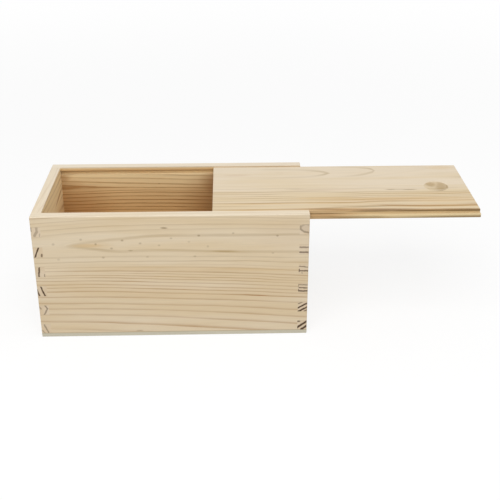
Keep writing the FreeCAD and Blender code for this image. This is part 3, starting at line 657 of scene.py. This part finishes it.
def pine(board, sanded, unsanded):
    """Bare pine, sawn from the log and sanded with fine grit, given its two sanded and unsanded colours.

    To the eye: pale cream earlywood that drifts towards straw, crossed by thin tan latewood lines
    that close into long pointed arches where the saw ran through a ring; matt, with a faint silk
    along the fibres. Cut across, at the finger ends, the same rings are short dark strokes. Where
    no sander reached, inside the box and in the rabbets, it is the colour of honey.
    """
    settings = bpy.context.scene.lid_box_pine
    material, tree = new_material(f"sanded_pine_{board.node}")
    coordinates = add(tree, "TexCoord")
    place = board_place(tree, board, coordinates)
    spot = add(tree, "SeparateXYZ", place)
    along, across, depth = spot.outputs["X"], spot.outputs["Y"], spot.outputs["Z"]

    # Where the surface is cut across the grain, where it runs along it, and where an edge was planed. The
    # planed band along the top of a wall's faces is partly a painted highlight.
    normal = add(tree, "SeparateXYZ", coordinates.outputs["Normal"])
    facing = add(tree, "Math", normal.outputs[board.grain], operation="ABSOLUTE")
    cut_across = add(tree, "MapRange", facing, *CUT_ACROSS)
    along_grain = add(tree, "Math", 1.0, cut_across, operation="SUBTRACT")
    upward = add(tree, "MapRange", normal.outputs["Z"], *FACING_UP)
    rim = times(tree, upward, add(tree, "MapRange", across, board.rim - 1, board.rim))
    if board.face == "Z":
        lip = add(tree, "MapRange", across, *PLANED_AND_HIGHLIT_LIP)
        rim = add(tree, "Math", rim, times(tree, along_grain, lip), operation="MAXIMUM")
    unplaned = add(tree, "Math", 1.0, rim, operation="SUBTRACT")

    # The clear wood: sanded outside, unsanded inside the box, with bands of resin, patches partly browned
    # and partly painted shadow, and planed edges partly painted highlight.
    drift = add(tree, "MapRange", stretched_noise(tree, place, YELLOW_DRIFT, board.seed + 13),
                *STEEP_NOISE, -0.5, 0.5)
    yellow = add(tree, "Math", read_off(tree, across, board.straw), drift, operation="ADD", use_clamp=True)
    hidden = times(tree, read_off(tree, depth, board.unsanded), along_grain, unplaned)
    hidden_wood = lay_coats(tree, unsanded[0], (read_off(tree, across, board.deep), unsanded[1]))
    wood = lay_coats(tree, sanded[0],
                     (yellow, sanded[1]),
                     (hidden, hidden_wood),
                     (add_marks(tree, place, board.resin), settings.resin),
                     (add_marks(tree, place, board.shades), settings.shade),
                     (times(tree, rim, board.planed), settings.planed_edge_and_highlight))
    if board is LID:
        wood = cut_recess(tree, place, depth, wood)
    fibres = add(tree, "MapRange", stretched_noise(tree, place, PINE_FIBRES, board.seed + 17, 3.0),
                 *FULL_NOISE, *FIBRE_SHADE)
    wood = add(tree, "Mix", 1.0, wood, add(tree, "CombineColor", fibres, fibres, fibres),
               data_type="RGBA", blend_type="MULTIPLY")

    # Latewood lines, up to twice as dark on unsanded wood.
    lines = growth_lines(tree, board, place, along, across, depth)
    planed_away = times(tree, rim, PLANED_AWAY)
    lines = times(tree, lines, add(tree, "Math", 1.0, planed_away, operation="SUBTRACT"))
    inside = add(tree, "Math", hidden, 1.0, operation="ADD")
    olive = read_off(tree, across, board.olive)
    line_colour = lay_coats(tree, settings.latewood, (olive, settings.olive_latewood))

    # On the end grain the rings are strokes. The end boards' are given one by one, and waver by
    # half a millimetre each way.
    strokes = lines
    if board.strokes:
        wavy = add(tree, "TexNoise", place, named={"Scale": 0.5, "Detail": 1.0})
        wavy_place = add(tree, "VectorMath", place, wavy.outputs["Color"], operation="ADD")
        wavy_place = add(tree, "VectorMath", wavy_place, (-0.5, -0.5, -0.5), operation="ADD")
        strokes = add_strokes(tree, wavy_place, board.strokes)
    wood = lay_coats(tree, wood,
                     (times(tree, lines, inside, along_grain, LATEWOOD_COVER), line_colour),
                     (times(tree, add_marks(tree, place, board.flecks), along_grain), settings.fleck),
                     (times(tree, cut_across, END_GRAIN_COVER), settings.end_grain),
                     (times(tree, strokes, cut_across), settings.end_stroke))

    # Glue lines round the fingers, and the shadow line where the walls stand on the base.
    if board is not LID:
        level = add(tree, "Math", 1.0, upward, operation="SUBTRACT")
        seams_and_foot_shadow = times(tree, finger_seams(tree, board, along, across), level, SEAM_COVER)
        foot = add(tree, "MapRange", across, BASE_THICKNESS + FOOT_SHADOW, BASE_THICKNESS)
        seams_and_foot_shadow = add(tree, "Math", seams_and_foot_shadow, times(tree, foot, FOOT_COVER), operation="MAXIMUM")
        wood = lay_coats(tree, wood, (seams_and_foot_shadow, settings.seam))

    line_height = 0.5
    relief = add(tree, "Math", lines, line_height, fibres, operation="MULTIPLY_ADD")
    bump = add(tree, "Bump", named={"Strength": 0.6, "Distance": settings.fibre_relief, "Height": relief})
    shine = add(tree, "MapRange", lines, 0.0, 1.0, settings.roughness, settings.line_roughness)
    surface = add(tree, "BsdfPrincipled", named={
        "Base Color": wood, "Roughness": shine, "IOR": 1.5, "Normal": bump})
    add(tree, "OutputMaterial", surface)
    return material


def dress(node, material):
    """Give a CAD node one material, in place of the one it came with."""
    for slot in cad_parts[node].material_slots:
        slot.material = material


def finish_walls(*boards):
    """Finish walls in sanded pine, the colour of honey inside the box."""
    settings = bpy.context.scene.lid_box_pine
    for board in boards:
        dress(board.node, pine(board, (settings.side_cream, settings.side_straw),
                               (settings.honey, settings.deep_honey)))


class FinishSides(bpy.types.Operator):
    """Finish the front and back boards in sanded pine"""
    bl_idname = "lid_box.finish_sides"
    bl_label = "Finish side boards"

    def execute(self, context):
        finish_walls(FRONT, BACK)
        return {"FINISHED"}


class FinishEnds(bpy.types.Operator):
    """Finish the two end boards in sanded pine"""
    bl_idname = "lid_box.finish_ends"
    bl_label = "Finish end boards"

    def execute(self, context):
        finish_walls(CLOSED_END, OPEN_END)
        return {"FINISHED"}


class FinishLid(bpy.types.Operator):
    """Finish the sliding lid in sanded pine"""
    bl_idname = "lid_box.finish_lid"
    bl_label = "Finish lid"

    def execute(self, context):
        settings = context.scene.lid_box_pine
        dress(LID.node, pine(LID, (settings.lid_cream, settings.lid_straw),
                             (settings.tongue, settings.rabbet)))
        return {"FINISHED"}


def plywood():
    """Three-ply board, rotary-cut and unsanded.

    To the eye: a pale grey-green cream face with a broad, faint, watery figure, and an edge of
    three bands with a thin brown glue line between them.
    """
    settings = bpy.context.scene.lid_box_base
    material, tree = new_material("three_ply_board")
    coordinates = add(tree, "TexCoord")
    place = add(tree, "Mapping", coordinates.outputs["Object"], vector_type="POINT", named={
        "Location": -BASE_LOW / MM, "Scale": (1 / MM, 1 / MM, 1 / MM)})

    # The edge's three plies, then the underside and the box's floor.
    height = add(tree, "SeparateXYZ", place).outputs["Z"]
    share = add(tree, "Math", height, BASE_THICKNESS, operation="DIVIDE")
    face, core, glue = settings.face_veneer, settings.core_veneer, settings.glue_line_and_shadow
    # The last stop, at the top of the edge under the walls, is partly glue and partly painted shadow.
    plies = add(tree, "ValToRGB", share, stops=[
        (0.0, face), (0.31, face), (0.34, glue), (0.37, core), (0.7, core), (0.73, glue), (0.76, face),
        (0.9, face), (1.0, glue)])
    upright = add(tree, "SeparateXYZ", coordinates.outputs["Normal"]).outputs["Z"]
    on_face = add(tree, "MapRange", add(tree, "Math", upright, operation="ABSOLUTE"), *FACING_UP)
    faces = lay_coats(tree, face, (add(tree, "MapRange", upright, 0.0, 0.1), settings.inner_veneer))
    colour = lay_coats(tree, plies, (on_face, faces))

    # The veneer's figure is in bands some 9 mm apart.
    watery = add(tree, "TexWave", place, wave_type="BANDS", bands_direction="Y",
                 named={"Scale": 0.035, "Distortion": 6.0, "Detail": 2.0, "Detail Scale": 0.25})
    figure = add(tree, "MapRange", watery, 0.0, 1.0, *FIGURE_SHADE)
    fibres = add(tree, "MapRange", stretched_noise(tree, place, VENEER_FIBRES, 71.0, 3.0),
                 *FULL_NOISE, *VENEER_SHADE)
    shade = times(tree, figure, fibres)
    colour = add(tree, "Mix", 1.0, colour, add(tree, "CombineColor", shade, shade, shade),
                 data_type="RGBA", blend_type="MULTIPLY")
    bump = add(tree, "Bump", named={"Strength": 0.5, "Distance": settings.veneer_relief, "Height": shade})
    surface = add(tree, "BsdfPrincipled", named={
        "Base Color": colour, "Roughness": 0.7, "IOR": 1.5, "Normal": bump})
    add(tree, "OutputMaterial", surface)
    return material


def wire_steel():
    """Bright drawn steel wire, cropped and headed.

    To the eye: a small dull grey glint set in the wood, with a darker, rougher freckle.
    """
    settings = bpy.context.scene.lid_box_base
    material, tree = new_material("drawn_steel_wire")
    freckles_per_mm = 1.2
    coordinates = add(tree, "TexCoord")
    freckle = add(tree, "TexNoise", coordinates.outputs["Object"],
                  named={"Scale": freckles_per_mm / MM, "Detail": 3.0})
    dulled = add(tree, "MapRange", freckle, 0.45, 0.7)
    colour = lay_coats(tree, settings.steel, (dulled, settings.dull_steel))
    roughness = add(tree, "MapRange", freckle, *FULL_NOISE, 0.3, 0.5)
    surface = add(tree, "BsdfPrincipled", named={
        "Base Color": colour, "Metallic": 1.0, "Roughness": roughness})
    add(tree, "OutputMaterial", surface)
    return material


class FinishBase(bpy.types.Operator):
    """Finish the plywood base and the steel brads in it"""
    bl_idname = "lid_box.finish_base"
    bl_label = "Finish base and brads"

    def execute(self, context):
        dress("bottom_board", plywood())
        dress("bottom_brads", wire_steel())
        return {"FINISHED"}


# Studio.

WHITE = (1.0, 1.0, 1.0, 1.0)
FLOOR_SIDE = 8.0
# How far from the box its shadows on the paper begin to fade into white, and are gone.
PAPER_FADE = (0.3, 1.6)
SOFTBOX_PLACE = (-0.12, -0.8, 1.25)
SOFTBOX_SIDES = (1.4, 1.0)
SIDE_LIGHT_PLACE = (1.3, -0.1, 0.8)
SIDE_LIGHT_SIDES = (0.7, 0.7)
SENSOR_SIDE = 36.0
IMAGE_SIDE = 500
FOCAL_PIXELS = 911
# Where the straight line of sight meets the image, in pixels from its left and top.
SIGHT_PIXELS = (254.3, 214.2)


def seen_rays(tree):
    """Tell the rays that look at the background from the ones that only carry its light."""
    rays = add(tree, "LightPath")
    return strongest(tree, [rays.outputs["Is Camera Ray"], rays.outputs["Is Glossy Ray"],
                            rays.outputs["Is Transmission Ray"]])


def white_paper():
    """Seamless white paper.

    To the eye: no texture and no horizon. What is seen of it is partly a white glow, so that the
    box stands in a light soft shadow; what it throws back on the box is a duller white.
    """
    settings = bpy.context.scene.lid_box_studio
    material, tree = new_material("white_paper")
    seen = seen_rays(tree)
    colour = lay_coats(tree, settings.floor_bounce, (seen, settings.floor))
    paper = add(tree, "BsdfDiffuse", colour)
    glow = add(tree, "Emission", named={"Color": WHITE, "Strength": 1.0})
    # Far from the box the paper is all white, so that no horizon shows.
    from_box = add(tree, "VectorMath", add(tree, "TexCoord").outputs["Object"], operation="LENGTH")
    whiteness = add(tree, "MapRange", from_box.outputs["Value"], *PAPER_FADE, settings.floor_glow, 1.0,
                    interpolation_type="SMOOTHSTEP")
    surface = add(tree, "MixShader", times(tree, seen, whiteness), paper, glow)
    add(tree, "OutputMaterial", surface)
    return material


def lay_floor():
    """Lay the sheet of paper that the box stands on."""
    sheet = bmesh.new()
    bmesh.ops.create_grid(sheet, x_segments=1, y_segments=1, size=FLOOR_SIDE / 2)
    mesh = bpy.data.meshes.new("paper_floor")
    sheet.to_mesh(mesh)
    sheet.free()
    mesh.materials.append(white_paper())
    floor = bpy.data.objects.new("paper_floor", mesh)
    bpy.context.scene.collection.objects.link(floor)


def white_world():
    """Set an even sky that looks white wherever it is seen."""
    settings = bpy.context.scene.lid_box_studio
    world = bpy.data.worlds.new("white_studio")
    world.use_nodes = True
    world.node_tree.nodes.clear()
    tree = world.node_tree
    light = add(tree, "Background", named={"Color": WHITE, "Strength": settings.sky})
    white = add(tree, "Background", named={"Color": WHITE, "Strength": 1.0})
    add(tree, "OutputWorld", add(tree, "MixShader", seen_rays(tree), light, white))
    bpy.context.scene.world = world


def hang_lamp(name, power, place, sides):
    """Hang a soft lamp that faces the middle of the base."""
    lamp = bpy.data.lights.new(name, "AREA")
    lamp.shape = "RECTANGLE"
    lamp.size, lamp.size_y = sides
    lamp.energy = power
    holder = bpy.data.objects.new(name, lamp)
    holder.location = place
    aim = (BASE_LOW + BASE_HIGH) / 2 - holder.location
    holder.rotation_mode = "QUATERNION"
    holder.rotation_quaternion = aim.to_track_quat("-Z", "Y")
    bpy.context.scene.collection.objects.link(holder)


def set_up_camera():
    """Stand the camera in front of the box, a little above it."""
    settings = bpy.context.scene.lid_box_studio
    lens = bpy.data.cameras.new("camera")
    lens.sensor_width = SENSOR_SIDE
    lens.lens = FOCAL_PIXELS / IMAGE_SIDE * SENSOR_SIDE
    lens.shift_x = (IMAGE_SIDE / 2 - SIGHT_PIXELS[0]) / IMAGE_SIDE
    lens.shift_y = (SIGHT_PIXELS[1] - IMAGE_SIDE / 2) / IMAGE_SIDE
    lens.clip_start = 0.01
    camera = bpy.data.objects.new("camera", lens)
    turn = (Matrix.Rotation(settings.camera_yaw, 4, "Z")
            @ Matrix.Rotation(math.pi / 2 - settings.camera_pitch, 4, "X")
            @ Matrix.Rotation(settings.camera_roll, 4, "Z"))
    camera.matrix_world = Matrix.Translation(settings.camera_place) @ turn
    bpy.context.scene.collection.objects.link(camera)
    bpy.context.scene.camera = camera


class BuildStudio(bpy.types.Operator):
    """Lay the floor, hang the lamps and set up the camera"""
    bl_idname = "lid_box.build_studio"
    bl_label = "Build studio"

    def execute(self, context):
        settings = context.scene.lid_box_studio
        lay_floor()
        white_world()
        hang_lamp("softbox", settings.softbox, SOFTBOX_PLACE, SOFTBOX_SIDES)
        hang_lamp("side_light", settings.side_light, SIDE_LIGHT_PLACE, SIDE_LIGHT_SIDES)
        set_up_camera()
        context.scene.view_settings.view_transform = "Standard"
        return {"FINISHED"}


SETTINGS = {"lid_box_pine": PineSettings, "lid_box_base": BaseSettings, "lid_box_studio": StudioSettings}
OPERATORS = (FinishSides, FinishEnds, FinishLid, FinishBase, BuildStudio)


class LidBoxPanel(bpy.types.Panel):
    """Lists the settings, and the finishes and the studio made with them"""
    bl_idname = "VIEW3D_PT_lid_box"
    bl_label = "Sliding Lid Box"
    bl_space_type = "VIEW_3D"
    bl_region_type = "UI"
    bl_category = "Lid Box"

    def draw(self, context):
        for name, group in SETTINGS.items():
            box = self.layout.box()
            for setting in group.__annotations__:
                box.prop(getattr(context.scene, name), setting)
        for operator in OPERATORS:
            self.layout.operator(operator.bl_idname)


def register():
    for cls in (*SETTINGS.values(), *OPERATORS, LidBoxPanel):
        bpy.utils.register_class(cls)
    for name, settings in SETTINGS.items():
        setattr(bpy.types.Scene, name, PointerProperty(type=settings))


def unregister():
    for name in SETTINGS:
        delattr(bpy.types.Scene, name)
    for cls in (LidBoxPanel, *OPERATORS, *SETTINGS.values()):
        bpy.utils.unregister_class(cls)


def main():
    """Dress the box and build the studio."""
    register()
    bpy.ops.lid_box.finish_sides()
    bpy.ops.lid_box.finish_ends()
    bpy.ops.lid_box.finish_lid()
    bpy.ops.lid_box.finish_base()
    bpy.ops.lid_box.build_studio()


if __name__ == "__main__":
    main()
